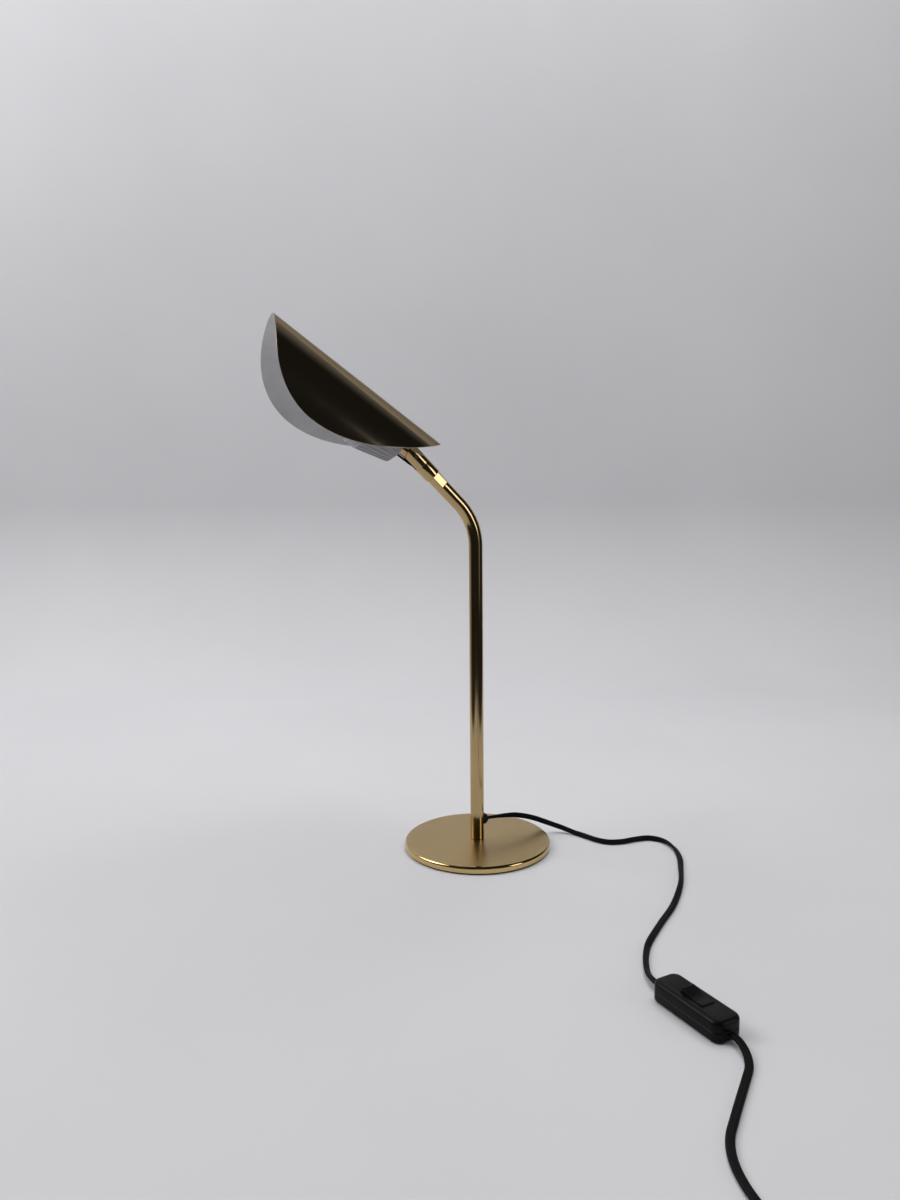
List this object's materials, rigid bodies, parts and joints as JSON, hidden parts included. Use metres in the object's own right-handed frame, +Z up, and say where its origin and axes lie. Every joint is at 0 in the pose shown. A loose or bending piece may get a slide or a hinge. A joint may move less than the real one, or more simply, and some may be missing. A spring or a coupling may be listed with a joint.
{
  "type": "desk lamp",
  "caption": "Desk lamp with a weighted round base, bent stem, swivel and tilt knuckle, leaf-shaped bent shade over a ribbed lamp body, and a cord with inline switch and plug.",
  "frame": {"origin": "centre of the underside of the round base, on the table", "axes": "+Z up; the arm and the shade lean towards -X in the XZ plane; the cord leaves the stem towards +X; +Y away from the picture's viewer"},
  "size_m": [0.3869, 0.6719, 0.525],
  "materials": {
    "brass_cover": "satin, clear lacquered",
    "brass_tube": "semi-gloss, clear lacquered",
    "brass_shade": "fine brushed satin outside",
    "white_lacquer": "matt white",
    "lamp_grey": "matt grey coated",
    "bezel_metal": "satin",
    "lens_frost": "frosted",
    "black_rubber": "matt",
    "black_plastic": "semi-gloss, moulded",
    "black_cord": "smooth PVC",
    "nylon": "natural",
    "steel": "zinc plated",
    "dark_screw": "browned",
    "iron": "as cast",
    "contact_brass": "bright",
    "nickel": "nickel plated",
    "board_green": "solder mask",
    "board_white": "white solder mask",
    "led_yellow": "phosphor"
  },
  "bodies": {
    "stand": {"base_cover": "brass_cover", "base_weight": "iron", "base_pad": "black_rubber", "foot_gasket": "black_rubber", "stem_insert": "steel", "base_bolt": "steel", "base_washer": "steel", "stem_tube": "brass_tube", "cord_grommet": "black_rubber", "inner_flex": "black_cord", "swivel_collar": "brass_tube", "stop_pin": "steel", "friction_ring": "nylon", "swivel_nut": "contact_brass", "cord_lamp": "black_cord", "switch_base": "black_plastic", "switch_cover": "black_plastic", "switch_contacts": "contact_brass", "cord_clamps": "black_plastic", "switch_screws": "steel", "cord_mid": "black_cord", "cord_coil": "black_cord", "plug_relief": "black_plastic", "plug_body": "black_plastic", "pin_sleeves": "black_plastic", "plug_pins": "nickel"},
    "sleeve": {"head_sleeve": "brass_tube", "fork": "brass_tube", "wave_washer": "steel", "tilt_screw": "dark_screw", "tilt_washers": "nylon"},
    "head": {"knuckle": "brass_tube", "bracket": "brass_tube", "shade": "brass_shade", "shade_studs": "steel", "shade_nuts": "steel", "lamp_screw": "steel", "lamp_body": "lamp_grey", "driver_board": "board_green", "led_board": "board_white", "led_chips": "led_yellow", "reflector": "white_lacquer", "lens": "lens_frost", "bezel": "bezel_metal", "lamp_lead": "black_cord"},
    "rocker": {"switch_rocker": "black_plastic"}
  },
  "joints": [
    {"name": "head_swivel", "type": "hinge", "parent": "stand", "child": "sleeve", "pos_m": [-0.06364, 0, 0.39914], "axis": [-0.7071, 0, 0.7071], "range_deg": [-160, 169]},
    {"name": "head_tilt", "type": "hinge", "parent": "sleeve", "child": "head", "pos_m": [-0.06364, 0, 0.39914], "axis": [0.0555, 0.9969, 0.0555], "range_deg": [-45, 35]},
    {"name": "rocker_tilt", "type": "hinge", "parent": "stand", "child": "rocker", "pos_m": [0.01517, -0.34449, 0.013], "axis": [0.9936, 0.1132, 0], "range_deg": [-20, 0]}
  ]
}
